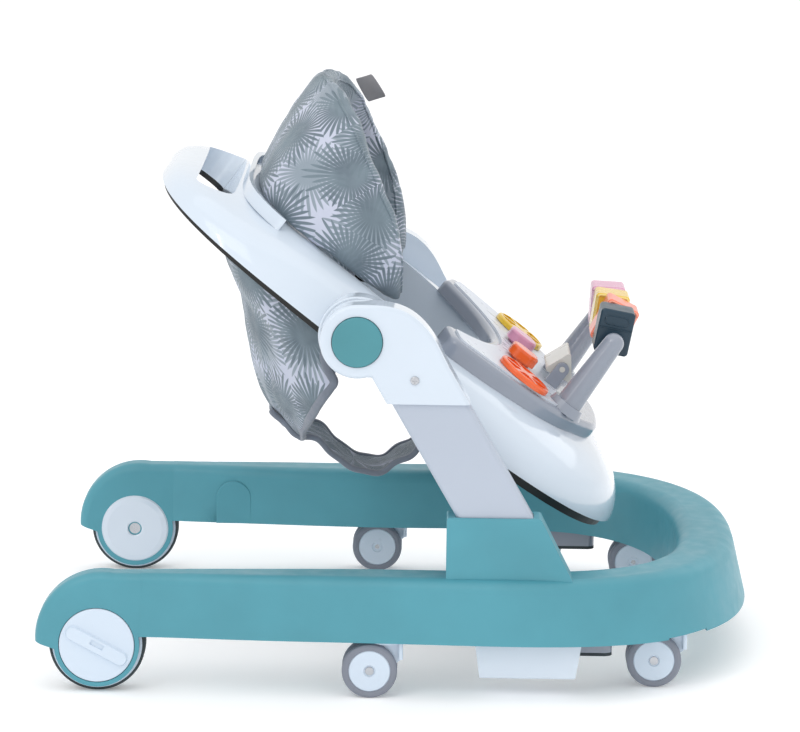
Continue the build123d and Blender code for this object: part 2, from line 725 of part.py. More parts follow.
# Backrest outline levels: height above the ring plane, rearmost point, half width, front point,
# and how square the rear corners are.
BACKREST_LEVELS = ((20, -165.5, 172, 60, 4.0), (105, -171, 152, 40, 3.2), (185, -177.5, 96, 10, 2.5))
outer_dome = dome(0)

with BuildPart() as inner_walls:
    add(hole_prism(SHELL, SEAM_N, CROWN_N + 10))
    add(slot_prism(SHELL, SEAM_N, CROWN_N + 10))
    add(outer_dome, mode=Mode.INTERSECT)
with BuildPart() as ring_upper:
    add(outer_dome)
    add(dome(SHELL), mode=Mode.SUBTRACT)
    add(inner_walls.part)
    add(seat_collar())
    add(both(hinge_boss()))
    add(hole_prism(0, -60, 60), mode=Mode.SUBTRACT)
    add(slot_prism(0, -60, 60), mode=Mode.SUBTRACT)
    with BuildSketch(right_side(-260)):
        with Locations(HUB):
            Circle(PIVOT_RADIUS + RUNNING_GAP)
    extrude(amount=520, mode=Mode.SUBTRACT)
    with BuildSketch(right_side(-205.5)):
        with Locations(HUB):
            Circle(13)
    extrude(amount=411, mode=Mode.SUBTRACT)
write(ring_upper.part, "ring_upper")

REAR_DEPTH = -20.5
FRONT_DEPTH = -27.0


def lower_tray(inset, floor):
    """The black tray's outline down to a floor that is deeper at the front."""
    with BuildPart() as body:
        add(lower_outline(inset))
        with BuildSketch(Plane(origin=hub_point, x_dir=ring_x, z_dir=(0, -1, 0))):
            with BuildLine():
                Polyline((RING_REAR - 5, REAR_DEPTH + floor), (RING_FRONT + 5, FRONT_DEPTH + floor),
                         (RING_FRONT + 5, -90), (RING_REAR - 5, -90), close=True)
            make_face()
        extrude(amount=300, both=True, mode=Mode.SUBTRACT)
    return body.part


lower_body = lower_tray(5, 0)
with BuildPart() as tray_walls:
    add(hole_prism(2.5, -60, SEAM_N))
    add(slot_prism(2.5, -60, SEAM_N))
    add(lower_body, mode=Mode.INTERSECT)
with BuildPart() as ring_lower:
    add(lower_body)
    add(lower_tray(7.5, 2.5), mode=Mode.SUBTRACT)
    add(tray_walls.part)
    add(hole_prism(0, -60, 60), mode=Mode.SUBTRACT)
    add(slot_prism(0, -60, 60), mode=Mode.SUBTRACT)
write(ring_lower.part, "ring_lower")


# ======================================================================= console and toys
# Console outline: u, y and how it moves per mm of inset, from the middle to the horn and back.
CONSOLE_INNER = ((131, 0, 1, 0), (121, 56, 0.95, 0.3), (100, 98, 0.8, 0.6), (70, 134, 1.05, 0.4))
CONSOLE_OUTER = ((79, 181, 0.85, -0.9), (130, 173, -0.1, -1), (180, 154, -0.35, -0.93),
                 (222, 123, -0.6, -0.8), (252, 80, -0.85, -0.5), (270, 0, -1, 0))


def console_face(inset):
    """Crescent plan of the console: horns to the rear on both sides of the child."""
    inner_points = [(u + du * inset, y + dy * inset) for u, y, du, dy in CONSOLE_INNER]
    outer_points = [(u + du * inset, y + dy * inset) for u, y, du, dy in CONSOLE_OUTER]
    with BuildSketch() as crescent:
        with BuildLine():
            inner = Spline(*inner_points, tangents=((0, 1), (-0.7, 0.7)))
            outer = Spline(*outer_points, tangents=((1, -0.1), (0, -1)))
            Line(inner @ 1, outer @ 0)
            Line(outer @ 1, inner @ 0)
        make_face()
        mirror(about=Plane.XZ)
        fillet(crescent.vertices().filter_by(lambda corner: abs(corner.Y) > 120),
               radius=12 - 0.4 * inset)
    return crescent.sketch


toy_spindles = [(DIAL_U, -DIAL_Y), (DIAL_U, DIAL_Y), (KNOB_U, -KNOB_Y), (KNOB_U, KNOB_Y)]
SPINDLE_RADIUS = 4.0


def spindle_holes():
    with BuildPart() as holes:
        with BuildSketch(ring_plane(CONSOLE_TOP - 12)):
            with Locations(*toy_spindles):
                Circle(SPINDLE_RADIUS + RUNNING_GAP)
        extrude(amount=30)
    return holes.part


def roller_lug(y):
    """Upright lug on the console that carries one end of the picture roller."""
    with BuildPart() as lug:
        with BuildSketch(Plane(origin=ring_point(ROLLER[0], y, 0), x_dir=ring_x, z_dir=(0, -1, 0))):
            with Locations((0, ROLLER[1])):
                Circle(7)
            with Locations((0, (ROLLER[1] + CONSOLE_TOP - 2) / 2)):
                Rectangle(14, ROLLER[1] - CONSOLE_TOP + 2)
            with Locations((0, ROLLER[1])):
                Circle(3 + RUNNING_GAP, mode=Mode.SUBTRACT)
        extrude(amount=2.5, both=True)
    return lug.part


with BuildPart() as console_base:
    with BuildSketch(ring_plane(24)):
        add(console_face(0))
    extrude(amount=CONSOLE_TOP - 24)
    fillet(console_base.faces().filter_by(
        lambda face: (face.center() - hub_point).dot(ring_up) > CONSOLE_TOP - 0.1).edges(), radius=6)
    add(outer_dome, mode=Mode.SUBTRACT)
    add(roller_lug(-37))
    add(roller_lug(37))
    add(spindle_holes(), mode=Mode.SUBTRACT)
write(console_base.part, "console_base")

with BuildPart() as console_panel:
    with BuildSketch(ring_plane(CONSOLE_TOP)):
        add(console_face(10))
        with Locations((PANEL_FRONT + 60, 0)):
            Rectangle(120, 400, mode=Mode.SUBTRACT)
        with Locations((ROLLER[0], -37), (ROLLER[0], 37)):
            Rectangle(14.4, 5.4, mode=Mode.SUBTRACT)
        with Locations(*toy_spindles):
            Circle(SPINDLE_RADIUS + RUNNING_GAP, mode=Mode.SUBTRACT)
    extrude(amount=PANEL_TOP - CONSOLE_TOP)
write(console_panel.part, "console_panel")

with BuildPart() as picture_roller:
    roller_plane = Plane(origin=ring_point(ROLLER[0], 0, ROLLER[1]), x_dir=ring_x,
                         z_dir=(0, -1, 0))
    with BuildSketch(roller_plane) as roller_end:
        RegularPolygon(19, 3, rotation=100)
        fillet(roller_end.vertices(), radius=2.5)
    extrude(amount=33.5, both=True)
    with BuildSketch(roller_plane):
        Circle(3)
    extrude(amount=39, both=True)
write(picture_roller.part, "picture_roller")


def arch_leg():
    """One tapered leg of the toy arch, on the right, with its round collar on the console."""
    foot = ring_point(ARCH_FOOT[0], -ARCH_HALF, ARCH_FOOT[1])
    top = ring_point(ARCH_TOP[0], -ARCH_HALF, ARCH_TOP[1])
    along = (top - foot).normalized()
    with BuildPart() as leg:
        with BuildSketch(Plane(origin=foot, z_dir=along)):
            Circle(14)
        with BuildSketch(Plane(origin=top, z_dir=along)):
            Circle(10.5)
        loft()
        with Locations(Location(top)):
            Sphere(10.5)
        with BuildSketch(ring_plane(CONSOLE_TOP - 1)):
            with Locations((ARCH_FOOT[0] - 1, -ARCH_HALF)):
                Circle(20)
        extrude(amount=10, taper=18)
    return leg.part


def bar_plane(y):
    return Plane(origin=ring_point(ARCH_TOP[0], y, ARCH_TOP[1]), x_dir=(1, 0, 0),
                 z_dir=(0, -1, 0))


with BuildPart() as handle_arch:
    add(both(arch_leg()))
    with BuildSketch(bar_plane(0)):
        Circle(BAR_RADIUS)
    extrude(amount=ARCH_HALF, both=True)
    add(console_base.part, mode=Mode.SUBTRACT)
    add(console_panel.part, mode=Mode.SUBTRACT)
write(handle_arch.part, "handle_arch")

# Block name, place along the bar from the right, and how far it is turned at rest.
BLOCKS = (("teal", 0, 11), ("orange", 1, 27), ("yellow", 2, 8), ("pink", 3, 3))
for colour, index, turn in BLOCKS:
    middle_y = (index - 1.5) * BLOCK_PITCH
    with BuildPart() as block:
        with BuildSketch(bar_plane(middle_y)):
            with Locations(Location((0, 0, 0), (0, 0, -turn))):
                with Locations((0, BLOCK_RISE)):
                    RectangleRounded(BLOCK_WIDTH, BLOCK_HEIGHT, 4)
        extrude(amount=BLOCK_LENGTH / 2, both=True)
        ends = block.faces().sort_by(Axis.Y)
        fillet(ends[0].edges() + ends[-1].edges(), radius=2.5)
        with BuildSketch(bar_plane(middle_y)):
            Circle(BAR_RADIUS + RUNNING_GAP)
        extrude(amount=BLOCK_LENGTH, both=True, mode=Mode.SUBTRACT)
    write(block.part, f"{colour}_block")

for colour, dial_y in (("orange", -DIAL_Y), ("yellow", DIAL_Y)):
    with BuildPart() as dial:
        with BuildSketch(ring_plane(PANEL_TOP + 0.5)):
            with Locations((DIAL_U, dial_y)):
                Circle(DIAL_RADIUS)
        extrude(amount=6)
        fillet(dial.faces().sort_by(Axis(hub_point, ring_up))[-1].edges(), radius=2.5)
        with BuildSketch(ring_plane(PANEL_TOP + 4)):
            with Locations((DIAL_U, dial_y)):
                Circle(DIAL_RADIUS - 4)
                Circle(9, mode=Mode.SUBTRACT)
                with PolarLocations(16, 6):
                    Rectangle(22, 4.5, mode=Mode.SUBTRACT)
        extrude(amount=4, mode=Mode.SUBTRACT)
        with BuildSketch(ring_plane(CONSOLE_TOP - 8)):
            with Locations((DIAL_U, dial_y)):
                Circle(SPINDLE_RADIUS)
        extrude(amount=12)
    write(dial.part, f"{colour}_dial")

for colour, knob_y in (("orange", -KNOB_Y), ("pink", KNOB_Y)):
    with BuildPart() as knob:
        with BuildSketch(ring_plane(PANEL_TOP + 0.5)):
            with Locations((KNOB_U, knob_y)):
                Circle(12)
        extrude(amount=5)
        with BuildSketch(ring_plane(PANEL_TOP + 3)) as cap:
            with Locations((KNOB_U, knob_y)):
                RectangleRounded(31, 31, 11)
        extrude(amount=11)
        fillet(knob.faces().sort_by(Axis(hub_point, ring_up))[-1].edges(), radius=3)
        with BuildSketch(ring_plane(CONSOLE_TOP - 8)):
            with Locations((KNOB_U, knob_y)):
                Circle(SPINDLE_RADIUS)
        extrude(amount=12)
    write(knob.part, f"{colour}_knob")


# ======================================================================= seat
BACKREST_THICKNESS = 26.0
SLING_THICKNESS = 5.0

def backrest_cone(inset):
    """The solid inside the backrest's outer skin, or inside its inner skin."""
    with BuildPart() as cone:
        for level in BACKREST_LEVELS:
            with BuildSketch(ring_plane(level[0])):
                add(egg_face(backrest_outline(level, inset)))
        loft()
    return cone.part


with BuildPart() as seat_backrest:
    add(backrest_cone(0))
    add(backrest_cone(BACKREST_THICKNESS), mode=Mode.SUBTRACT)
    with BuildSketch(Plane(origin=hub_point, x_dir=ring_x, z_dir=(0, -1, 0))):
        with BuildLine():
            slope = Spline((-147, 168), (-95, 142), (-37, 108), (-8, 80), (17, CROWN_N))
            Polyline(slope @ 1, (-230, CROWN_N), (-230, 168), slope @ 0)
        make_face()
    extrude(amount=250, both=True, mode=Mode.INTERSECT)
write(seat_backrest.part, "seat_backrest")

# Sling levels below the ring: height, rearmost point, half width, front point.
SLING_LEVELS = ((CROWN_N, -154.4, 161.4, 126.4), (-40, -153.4, 160.4, 125.4), (-64, -108, 152, 160),
                (-99, -72, 130, 180), (-129, -39, 84, 190), (-147, -4, 50, 200))


def sling_bucket(inset):
    """The hanging fabric as a tapering bucket through the ring's hole."""
    with BuildPart() as bucket:
        for height, rear, half, front in SLING_LEVELS:
            middle = -10 if height > -50 else (front + rear) / 2
            with BuildSketch(ring_plane(height)):
                add(egg_face(egg(front - inset, rear + inset, half - inset, middle, 2.5, 2.5)))
        loft(ruled=True)
    return bucket.part


with BuildPart() as crotch_strap:
    with BuildSketch(Plane.XZ):
        with BuildLine():
            under = Spline((-139, 236), (-112, 209), (-88, 203), (-62, 179), (-36, 168.5), (-12, 175),
                           (18, 195), (41.5, 250))
            over = Spline((36.8, 252.6), (13, 200), (-14, 181), (-36, 174.5), (-59, 185), (-85, 209),
                          (-109, 215), (-135, 240))
            Line(under @ 1, over @ 0)
            Line(over @ 1, under @ 0)
        make_face()
    extrude(amount=50, both=True)
write(crotch_strap.part, "crotch_strap")

with BuildPart() as seat_sling:
    add(sling_bucket(0))
    add(sling_bucket(SLING_THICKNESS), mode=Mode.SUBTRACT)
    with BuildSketch(Plane.XZ):
        with BuildLine():
            edge = Spline((-31, 378), (-46, 313), (-62, 297), (-86, 258), (-101, 222), (-104, 205))
            Polyline(edge @ 1, (-300, 205), (-300, 600), (-31, 600), edge @ 0)
        make_face()
    extrude(amount=250, both=True, mode=Mode.INTERSECT)
    add(crotch_strap.part, mode=Mode.SUBTRACT)
write(seat_sling.part, "seat_sling")
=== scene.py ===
"""Looks of the baby walker: materials on the CAD pieces, padded fabric seat, trims, light and camera.

Metres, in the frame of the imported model: +X to the front of the walker, +Z up, floor at z = 0.
"""
import json
import math

import bmesh
import bpy
from mathutils import Matrix, Vector, noise
from mathutils.bvhtree import BVHTree


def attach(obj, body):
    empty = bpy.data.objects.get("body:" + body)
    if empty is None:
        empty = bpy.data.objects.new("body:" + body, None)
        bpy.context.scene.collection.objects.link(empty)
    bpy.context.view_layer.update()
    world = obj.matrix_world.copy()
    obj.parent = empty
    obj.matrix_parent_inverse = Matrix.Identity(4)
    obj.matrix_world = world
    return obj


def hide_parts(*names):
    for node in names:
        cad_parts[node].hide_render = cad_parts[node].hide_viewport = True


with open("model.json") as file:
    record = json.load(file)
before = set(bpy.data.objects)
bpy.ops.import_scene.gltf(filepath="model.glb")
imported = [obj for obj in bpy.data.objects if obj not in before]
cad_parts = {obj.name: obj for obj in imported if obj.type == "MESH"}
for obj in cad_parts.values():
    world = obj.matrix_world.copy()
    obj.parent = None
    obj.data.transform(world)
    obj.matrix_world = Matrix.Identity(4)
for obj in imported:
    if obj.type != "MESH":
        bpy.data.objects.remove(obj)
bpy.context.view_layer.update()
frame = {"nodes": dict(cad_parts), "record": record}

# ---------------------------------------------------------------- the ring's own plane
TILT = math.radians(37.5)
JOINTS = {joint["name"]: joint for joint in frame["record"]["behaviour"]["joints"]}
HUB = Vector(JOINTS["ring_tilt"]["pos_m"])
RING_X = Vector((math.cos(TILT), 0, -math.sin(TILT)))
RING_UP = Vector((math.sin(TILT), 0, math.cos(TILT)))
MM = 0.001


def ring_point(u, y, n):
    """A point in millimetres along the ring, to the left, and above its plane."""
    return HUB + RING_X * (u * MM) + RING_UP * (n * MM) + Vector((0, y * MM, 0))


# ---------------------------------------------------------------- materials
class Nodes:
    """A short way to build a material's node tree."""

    def __init__(self, name):
        self.material = bpy.data.materials.new(name)
        self.material.use_nodes = True
        self.tree = self.material.node_tree
        self.shader = next(n for n in self.tree.nodes if n.type == "BSDF_PRINCIPLED")

    def add(self, kind, **settings):
        node = self.tree.nodes.new(kind)
        for key, value in settings.items():
            if key in node.inputs:
                node.inputs[key].default_value = value
            else:
                setattr(node, key, value)
        return node

    def link(self, source, target):
        self.tree.links.new(source, target)

    def math(self, operation, a, b=None, c=None, clamp=False):
        node = self.tree.nodes.new("ShaderNodeMath")
        node.operation = operation
        node.use_clamp = clamp
        for socket, value in zip(node.inputs, (a, b, c)):
            if value is None:
                continue
            if isinstance(value, (int, float)):
                socket.default_value = value
            else:
                self.link(value, socket)
        return node.outputs[0]

    def mix(self, factor, a, b):
        node = self.tree.nodes.new("ShaderNodeMix")
        node.data_type = "RGBA"
        for socket, value in ((node.inputs[0], factor), (node.inputs[6], a), (node.inputs[7], b)):
            if isinstance(value, (int, float)):
                socket.default_value = value
            elif isinstance(value, (tuple, list)):
                socket.default_value = value
            else:
                self.link(value, socket)
        return node.outputs[2]

    def position(self):
        return self.add("ShaderNodeTexCoord").outputs["Object"]

    def noise(self, scale, detail=3.0, vector=None, roughness=0.5):
        node = self.add("ShaderNodeTexNoise")
        node.inputs["Scale"].default_value = scale
        node.inputs["Detail"].default_value = detail
        node.inputs["Roughness"].default_value = roughness
        self.link(vector or self.position(), node.inputs["Vector"])
        return node.outputs["Fac"]

    def range(self, value, low, high, out_low, out_high):
        node = self.add("ShaderNodeMapRange")
        node.inputs["From Min"].default_value = low
        node.inputs["From Max"].default_value = high
        node.inputs["To Min"].default_value = out_low
        node.inputs["To Max"].default_value = out_high
        self.link(value, node.inputs["Value"])
        return node.outputs["Result"]

    def bump(self, height, distance, strength=1.0):
        node = self.add("ShaderNodeBump")
        node.inputs["Distance"].default_value = distance
        node.inputs["Strength"].default_value = strength
        self.link(height, node.inputs["Height"])
        self.link(node.outputs["Normal"], self.shader.inputs["Normal"])


def linear(color):
    """sRGB numbers from 0 to 255 as a linear colour."""
    out = []
    for value in color:
        v = value / 255
        out.append(v / 12.92 if v <= 0.04045 else ((v + 0.055) / 1.055) ** 2.4)
    return (*out, 1.0)


def plastic(name, color, rough, grain=0.0, coat=0.0, vary=0.06, metal=0.0):
    """Moulded plastic or painted metal: faint clouding, uneven gloss and a fine grain."""
    n = Nodes(name)
    base = linear(color)
    darker = tuple(v * (1 - vary) for v in base[:3]) + (1.0,)
    lighter = tuple(min(v * (1 + vary), 1.0) for v in base[:3]) + (1.0,)
    cloud = n.noise(9.0, 4.0)
    n.link(n.mix(n.range(cloud, 0.35, 0.65, 0.0, 1.0), darker, lighter), n.shader.inputs["Base Color"])
    scuff = n.noise(70.0, 6.0)
    n.link(n.range(scuff, 0.3, 0.75, rough * 0.85, min(rough * 1.2, 1.0)), n.shader.inputs["Roughness"])
    n.shader.inputs["Metallic"].default_value = metal
    n.shader.inputs["Coat Weight"].default_value = coat
    n.shader.inputs["Coat Roughness"].default_value = 0.06
    if grain:
        n.bump(n.noise(1400.0, 2.0), grain)
    else:
        n.bump(n.noise(26.0, 2.0), 0.00012)
    return n.material


TEAL = plastic("teal_moulding", (77, 149, 164), 0.42, grain=0.00003)
TEAL_CAP = plastic("teal_cap", (72, 140, 150), 0.42, grain=0.00002)
UNDERSIDE = plastic("underside_plastic", (72, 132, 144), 0.55, grain=0.00003)
WHITE = plastic("glossy_white", (206, 217, 229), 0.14, coat=0.6, vary=0.012)
WHEEL_WHITE = plastic("wheel_white", (206, 219, 233), 0.32, grain=0.00002, vary=0.02)
PANEL = plastic("panel_white", (208, 215, 225), 0.3, vary=0.02)
GREY = plastic("console_grey", (142, 149, 162), 0.2, coat=0.5, vary=0.03)
PAINT = plastic("pale_powder_coat", (178, 187, 201), 0.34, grain=0.00004, vary=0.02)
BLACK = plastic("black_tray", (12, 13, 13), 0.42, grain=0.00004, vary=0.15)
CASTER_GREY = plastic("caster_tread", (128, 133, 145), 0.55, grain=0.00003, vary=0.05)
RUBBER = plastic("dark_rubber", (48, 58, 62), 0.7, grain=0.00005, vary=0.12)
STEEL = plastic("bright_steel", (190, 192, 196), 0.28, vary=0.05, metal=1.0)
ORANGE = plastic("orange_plastic", (236, 98, 38), 0.26, coat=0.3, vary=0.04)
CORAL = plastic("coral_plastic", (246, 120, 88), 0.3, coat=0.3, vary=0.04)
YELLOW = plastic("yellow_plastic", (229, 190, 52), 0.28, coat=0.3, vary=0.04)
PINK = plastic("pink_plastic", (216, 152, 182), 0.3, coat=0.3, vary=0.04)
DEEP_TEAL = plastic("deep_teal_plastic", (18, 52, 70), 0.38, coat=0.1, vary=0.08)
CREAM = plastic("cream_plastic", (206, 206, 200), 0.3, coat=0.2, vary=0.03)

SLOT_MATERIALS = {
    "teal_plastic": TEAL, "cover_plastic": UNDERSIDE, "white_plastic": WHITE, "grey_plastic": GREY,
    "panel_plastic": PANEL, "black_plastic": BLACK, "caster_tyre": CASTER_GREY, "leg_tube_paint": PAINT,
    "orange_plastic": ORANGE, "yellow_plastic": YELLOW, "pink_plastic": PINK,
    "dark_teal_plastic": DEEP_TEAL, "rubber_pads": RUBBER, "steel_pins": STEEL, "seat_fabric": WHITE,
}
NODE_MATERIALS = {"right_hub_button": TEAL_CAP, "left_hub_button": TEAL_CAP, "orange_block": CORAL,
                  "picture_roller": CREAM, "right_speed_knob": WHEEL_WHITE, "left_speed_knob": WHEEL_WHITE,
                  "right_rear_wheel": WHEEL_WHITE, "left_rear_wheel": WHEEL_WHITE}
for side in ("right", "left"):
    for place in ("front", "middle"):
        NODE_MATERIALS[f"{side}_{place}_caster_wheels"] = WHEEL_WHITE
        NODE_MATERIALS[f"{side}_{place}_caster_fork"] = WHEEL_WHITE

slots = {entry["node"]: entry["material_slot"] for entry in frame["record"]["subparts"]}
for node, thing in frame["nodes"].items():
    material = NODE_MATERIALS.get(node, SLOT_MATERIALS[slots[node]])
    thing.data.materials.clear()
    thing.data.materials.append(material)


# ---------------------------------------------------------------- printed cloth
def dot(n, vector, axis, origin):
    """Distance of a point from origin along axis."""
    away = n.add("ShaderNodeVectorMath", operation="SUBTRACT")
    n.link(vector, away.inputs[0])
    away.inputs[1].default_value = origin
    along = n.add("ShaderNodeVectorMath", operation="DOT_PRODUCT")
    n.link(away.outputs[0], along.inputs[0])
    along.inputs[1].default_value = axis
    return along.outputs["Value"]


def burst(n, s, v, spacing, shift, reach, needles):
    """Mask of the print: thin leaves round scattered centres on the flat cloth."""
    plane = n.add("ShaderNodeCombineXYZ")
    n.link(n.math("ADD", s, shift), plane.inputs[0])
    n.link(n.math("ADD", v, shift * 0.37), plane.inputs[1])
    cells = n.add("ShaderNodeTexVoronoi", voronoi_dimensions="2D", feature="F1")
    cells.inputs["Scale"].default_value = 1 / spacing
    cells.inputs["Randomness"].default_value = 0.5
    n.link(plane.outputs[0], cells.inputs["Vector"])
    away = n.add("ShaderNodeVectorMath", operation="SUBTRACT")
    n.link(plane.outputs[0], away.inputs[0])
    n.link(cells.outputs["Position"], away.inputs[1])
    parts = n.add("ShaderNodeSeparateXYZ")
    n.link(away.outputs[0], parts.inputs[0])
    length = n.add("ShaderNodeVectorMath", operation="LENGTH")
    n.link(away.outputs[0], length.inputs[0])
    radius = length.outputs["Value"]
    tint = n.add("ShaderNodeSeparateColor")
    n.link(cells.outputs["Color"], tint.inputs[0])
    turn = n.math("DIVIDE", n.math("ARCTAN2", parts.outputs[1], parts.outputs[0]), 2 * math.pi)
    count = n.math("MULTIPLY", n.math("ADD", turn, tint.outputs[0]), needles)
    aside = n.math("ABSOLUTE", n.math("SUBTRACT", n.math("FRACT", count), 0.5))
    seed = n.add("ShaderNodeCombineXYZ")
    n.link(n.math("FLOOR", count), seed.inputs[0])
    n.link(tint.outputs[1], seed.inputs[1])
    chance = n.add("ShaderNodeTexWhiteNoise", noise_dimensions="2D")
    n.link(seed.outputs[0], chance.inputs["Vector"])
    share = n.math("DIVIDE", radius, n.math("MULTIPLY_ADD", chance.outputs["Value"], reach * 0.3, reach * 0.7))
    lateral = n.math("MULTIPLY", aside, n.math("MULTIPLY", radius, 2 * math.pi / needles))
    blunt = n.math("SUBTRACT", 1.0, n.math("POWER", share, 9.0), clamp=True)
    half_width = n.math("MULTIPLY", n.math("MULTIPLY_ADD", share, 0.0010, 0.0011), blunt)
    edge = n.math("DIVIDE", n.math("SUBTRACT", half_width, lateral), 0.0005, clamp=True)
    return n.math("MULTIPLY", edge, n.math("LESS_THAN", share, 1.0))


def printed_cloth(name, centre, side, up, span):
    """Woven polyester with a two-tone burst print, wrapped round an upright axis."""
    n = Nodes(name)
    place = n.position()
    ahead = side.cross(up)
    x = dot(n, place, ahead, centre)
    y = dot(n, place, side, centre)
    v = dot(n, place, up, centre)
    s = n.math("MULTIPLY", n.math("ARCTAN2", y, n.math("MULTIPLY", x, -1.0)), span)
    dark = burst(n, s, v, 0.062, 0.43, 0.048, 38.0)
    pale = burst(n, s, v, 0.064, 1.71, 0.046, 36.0)
    ground = n.mix(n.range(n.noise(24.0, 4.0), 0.3, 0.7, 0.0, 1.0), linear((188, 194, 212)), linear((199, 204, 221)))
    one = n.mix(n.math("MULTIPLY", pale, 0.85), ground, linear((128, 143, 153)))
    tone = n.mix(n.range(n.noise(40.0, 2.0), 0.35, 0.65, 0.0, 1.0), linear((94, 110, 121)), linear((112, 129, 139)))
    two = n.mix(n.math("MULTIPLY", dark, 0.95), one, tone)
    n.link(two, n.shader.inputs["Base Color"])
    n.link(n.range(n.noise(300.0, 2.0), 0.3, 0.7, 0.52, 0.68), n.shader.inputs["Roughness"])
    n.shader.inputs["Sheen Weight"].default_value = 0.25
    n.shader.inputs["Sheen Roughness"].default_value = 0.4
    warp = n.math("SINE", n.math("MULTIPLY", s, 2 * math.pi / 0.0011))
    weft = n.math("SINE", n.math("MULTIPLY", v, 2 * math.pi / 0.0011))
    crease = n.noise(38.0, 3.0)
    n.bump(n.math("MULTIPLY_ADD", n.math("MULTIPLY", warp, weft), 0.05, crease), 0.0035, 0.55)
    return n.material


def plain_cloth(name, color):
    """Binding tape: a fine rib across a plain weave."""
    n = Nodes(name)
    base = linear(color)
    dark = tuple(v * 0.86 for v in base[:3]) + (1.0,)
    n.link(n.mix(n.range(n.noise(60.0, 4.0), 0.3, 0.7, 0.0, 1.0), dark, base), n.shader.inputs["Base Color"])
    n.link(n.range(n.noise(400.0, 2.0), 0.3, 0.7, 0.6, 0.8), n.shader.inputs["Roughness"])
    n.shader.inputs["Sheen Weight"].default_value = 0.3
    rib = n.add("ShaderNodeTexWave", bands_direction="DIAGONAL")
    rib.inputs["Scale"].default_value = 320.0
    n.link(n.position(), rib.inputs["Vector"])
    n.bump(n.math("MULTIPLY_ADD", rib.outputs["Fac"], 0.15, n.noise(120.0, 2.0)), 0.0012, 0.5)
    return n.material


BACK_CLOTH = printed_cloth("backrest_cloth", tuple(ring_point(-40, 0, 0)), Vector((0, 1, 0)), RING_UP, 0.15)
SLING_CLOTH = printed_cloth("sling_cloth", (-0.05, 0, 0.1), Vector((0, 1, 0)), Vector((0, 0, 1)), 0.13)
BINDING = plain_cloth("binding_tape", (122, 129, 142))
TAG_CLOTH = plain_cloth("tag_tape", (126, 126, 130))


# ---------------------------------------------------------------- mesh helpers
def new_object(name, bm, material, smooth=True):
    bmesh.ops.recalc_face_normals(bm, faces=bm.faces)
    mesh = bpy.data.meshes.new(name)
    bm.to_mesh(mesh)
    bm.free()
    thing = bpy.data.objects.new(name, mesh)
    bpy.context.collection.objects.link(thing)
    mesh.materials.append(material)
    for polygon in mesh.polygons:
        polygon.use_smooth = smooth
    return thing


def skin(sections, closed=False):
    """A closed mesh through closed loops of points, capped at both ends unless it runs round."""
    bm = bmesh.new()
    rows = [[bm.verts.new(point) for point in section] for section in sections]
    count = len(rows[0])
    pairs = list(zip(rows, rows[1:]))
    if closed:
        pairs.append((rows[-1], rows[0]))
    for first, second in pairs:
        for i in range(count):
            j = (i + 1) % count
            bm.faces.new((first[i], first[j], second[j], second[i]))
    if not closed:
        bm.faces.new(rows[0])
        bm.faces.new(list(reversed(rows[-1])))
    return bm


def applied(thing):
    """Replaces a mesh with what its modifiers make of it."""
    graph = bpy.context.evaluated_depsgraph_get()
    graph.update()
    mesh = bpy.data.meshes.new_from_object(thing.evaluated_get(graph))
    thing.modifiers.clear()
    old = thing.data
    thing.data = mesh
    bpy.data.meshes.remove(old)
    for polygon in mesh.polygons:
        polygon.use_smooth = True


def puff(thing, voxel, cap, pinned):
    """Swells a closed shape as a stuffed cushion: voxel mesh, cloth under pressure, capped moves."""
    remesh = thing.modifiers.new("remesh", "REMESH")
    remesh.mode = "VOXEL"
    remesh.voxel_size = voxel
    applied(thing)
    start = [vertex.co.copy() for vertex in thing.data.vertices]
    group = thing.vertex_groups.new(name="pinned")
    group.add([i for i, point in enumerate(start) if pinned(point)], 1.0, "REPLACE")
    cloth = thing.modifiers.new("cloth", "CLOTH")
    cloth.settings.use_pressure = True
    cloth.settings.uniform_pressure_force = 4.0
    cloth.settings.effector_weights.gravity = 0.0
    cloth.settings.vertex_group_mass = "pinned"
    cloth.settings.quality = 5
    scene = bpy.context.scene
    for step in range(1, 21):
        scene.frame_set(step)
    graph = bpy.context.evaluated_depsgraph_get()
    moved = [vertex.co.copy() for vertex in thing.evaluated_get(graph).data.vertices]
    thing.modifiers.clear()
    for vertex, before, after in zip(thing.data.vertices, start, moved):
        step = after - before
        if step.length > cap:
            step = step.normalized() * cap
        vertex.co = before + step
    scene.frame_set(1)
    smooth = thing.modifiers.new("smooth", "SMOOTH")
    smooth.factor = 0.5
    smooth.iterations = 3
    applied(thing)


def subdivide(thing, levels=1):
    modifier = thing.modifiers.new("subdivision", "SUBSURF")
    modifier.levels = modifier.render_levels = levels
    applied(thing)


def tube(name, points, radius, material, sides=8, flatten=1.0, closed=False):
    """A mesh tube along points; flatten squeezes it along its second direction."""
    sections = []
    last = len(points) - 1
    up = Vector((0, 0, 1))
    for i, point in enumerate(points):
        before = points[(i - 1) % len(points)] if closed else points[max(i - 1, 0)]
        after = points[(i + 1) % len(points)] if closed else points[min(i + 1, last)]
        along = (after - before).normalized()
        side = along.cross(up)
        if side.length < 0.2:
            side = along.cross(Vector((1, 0, 0)))
        side.normalize()
        other = side.cross(along)
        ring = []
        for k in range(sides):
            a = 2 * math.pi * k / sides
            ring.append(point + side * math.cos(a) * radius * flatten + other * math.sin(a) * radius)
        sections.append(ring)
    return new_object(name, skin(sections, closed), material)


